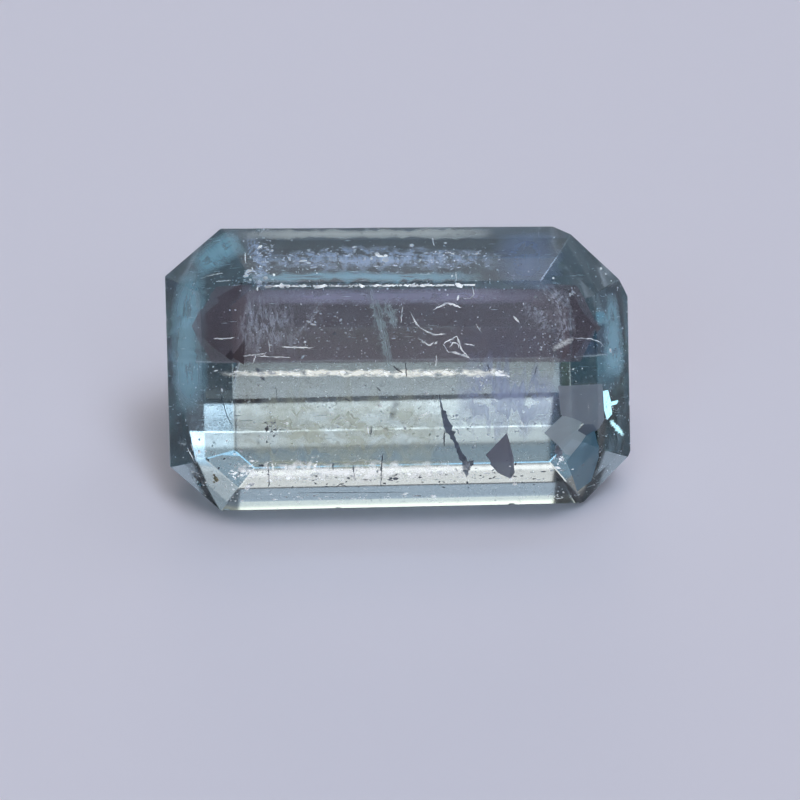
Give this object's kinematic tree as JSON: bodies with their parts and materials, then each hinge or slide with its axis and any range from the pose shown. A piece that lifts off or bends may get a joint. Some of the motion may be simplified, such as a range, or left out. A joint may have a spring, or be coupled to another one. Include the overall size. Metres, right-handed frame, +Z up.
{
  "type": "faceted beryl crystal",
  "caption": "Step-cut octagonal beryl crystal, pale blue-green and see-through, with a flat table, a faceted underside and natural inclusions.",
  "frame": {"origin": "centre of the footprint, on the surface that the crystal rests on", "axes": "+X along the crystal's length, +Z up; the crystal lies on one facet of its underside, so its table leans towards -Y"},
  "size_m": [0.014, 0.007, 0.0069],
  "materials": {
    "beryl": "polished facets, lightly worn at the edges, clear pale blue-green with white veils, cracks and specks inside"
  },
  "bodies": {
    "root": {"crystal": "beryl"}
  },
  "joints": []
}
